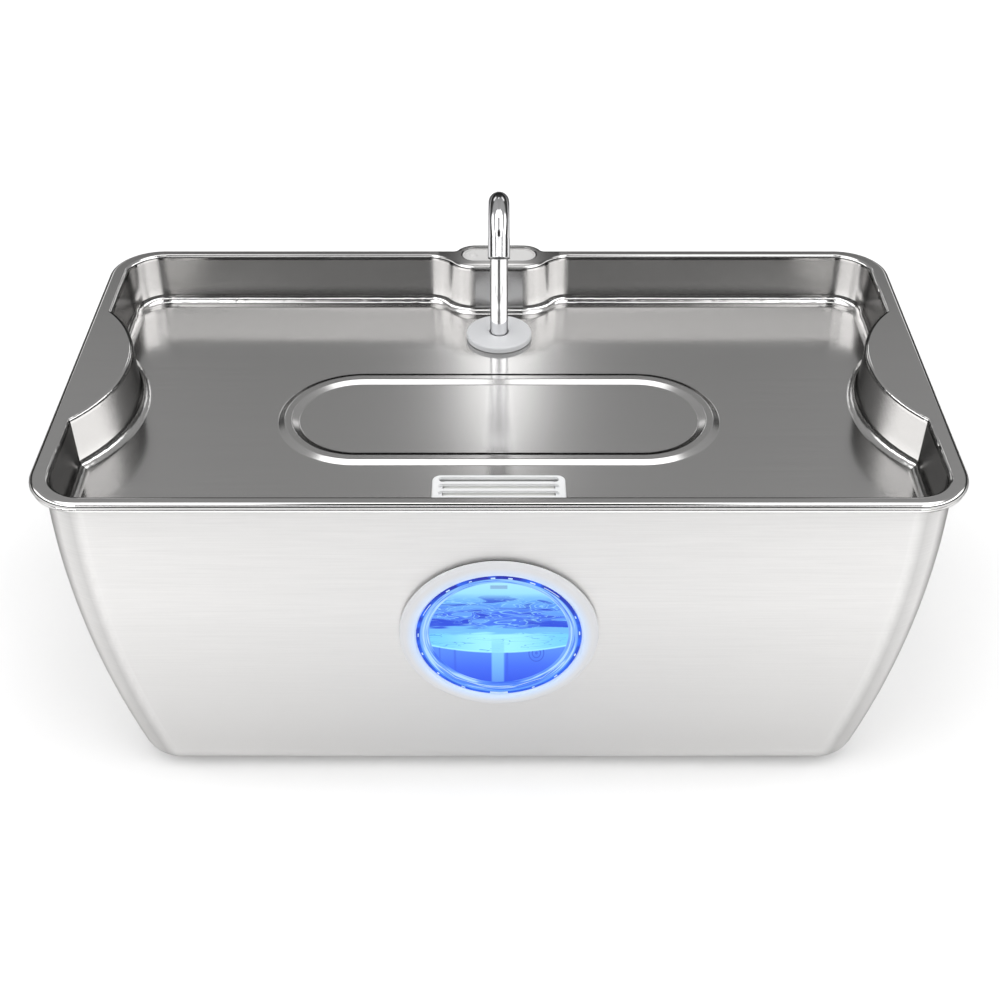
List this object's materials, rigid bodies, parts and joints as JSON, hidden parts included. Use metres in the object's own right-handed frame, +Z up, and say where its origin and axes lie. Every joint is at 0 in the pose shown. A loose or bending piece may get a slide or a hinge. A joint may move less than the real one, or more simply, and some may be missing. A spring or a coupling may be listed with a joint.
{
  "type": "pet water fountain",
  "caption": "Rectangular stainless steel pet water fountain with a drawn drinking tray, a swivelling gooseneck spout, a drain grille and a round lit window.",
  "frame": {"origin": "middle of the base, on the surface the fountain stands on", "axes": "+Z up, -Y towards the front wall with the window, +X to the right-hand end seen from the front"},
  "size_m": [0.36, 0.206, 0.2085],
  "materials": {
    "tank_steel": "fine horizontal brushing",
    "tray_steel": "satin drawn stainless",
    "polished_steel": "mirror polished",
    "white_plastic": "satin white",
    "grey_plastic": "light grey moulded",
    "clear_plastic": "clear polished",
    "silicone": "translucent white silicone",
    "black_rubber": "matt",
    "pump_plastic": "fine moulded texture",
    "impeller_plastic": "moulded",
    "magnet": "sintered ferrite",
    "ceramic": "ground",
    "sponge": "open-cell foam",
    "fleece": "needled fleece",
    "carbon": "granules in a net",
    "resin": "ion exchange beads in a net",
    "led": "blue lamps on a board"
  },
  "bodies": {
    "tank": {"tank_shell": "tank_steel", "foot_pads": "black_rubber", "window_bezel": "white_plastic", "window_lens": "clear_plastic", "lens_seal": "silicone", "window_gasket": "silicone", "window_inner_gasket": "silicone", "window_nut": "grey_plastic", "pump_housing": "pump_plastic", "chamber_cover": "pump_plastic", "chamber_oring": "black_rubber", "impeller_shaft": "ceramic", "shaft_bushes": "black_rubber", "inlet_cover": "pump_plastic", "prefilter_sponge": "sponge", "led_board": "led", "led_lens": "clear_plastic", "cable_gland": "black_rubber", "suction_cups": "black_rubber", "outlet_hose": "silicone"},
    "rotor": {"impeller": "impeller_plastic", "rotor_magnet": "magnet"},
    "tray": {"tray_pan": "tray_steel", "cable_plug": "silicone", "faucet_base": "grey_plastic", "base_washer": "silicone", "base_nut": "grey_plastic", "riser_tube": "polished_steel"},
    "spout": {"gooseneck": "polished_steel", "spout_nozzle": "polished_steel", "flow_straightener": "pump_plastic"},
    "filter": {"filter_basket": "white_plastic", "filter_fleece": "fleece", "filter_carbon": "carbon", "filter_resin": "resin"},
    "grille": {"drain_grille": "white_plastic"}
  },
  "joints": [
    {"name": "tray_lift", "type": "slide", "parent": "tank", "child": "tray", "axis": [0, 0, 1], "range_m": [0, 0.16]},
    {"name": "spout_swivel", "type": "hinge", "parent": "tray", "child": "spout", "pos_m": [0, 0.0575, 0.18], "axis": [0, 0, 1], "continuous": true},
    {"name": "filter_lift", "type": "slide", "parent": "tray", "child": "filter", "axis": [0, 0, 1], "range_m": [0, 0.06]},
    {"name": "grille_lift", "type": "slide", "parent": "filter", "child": "grille", "axis": [0, 0, 1], "range_m": [0, 0.03]},
    {"name": "impeller_spin", "type": "hinge", "parent": "tank", "child": "rotor", "pos_m": [0, 0.0575, 0.03], "axis": [1, 0, 0], "continuous": true}
  ]
}
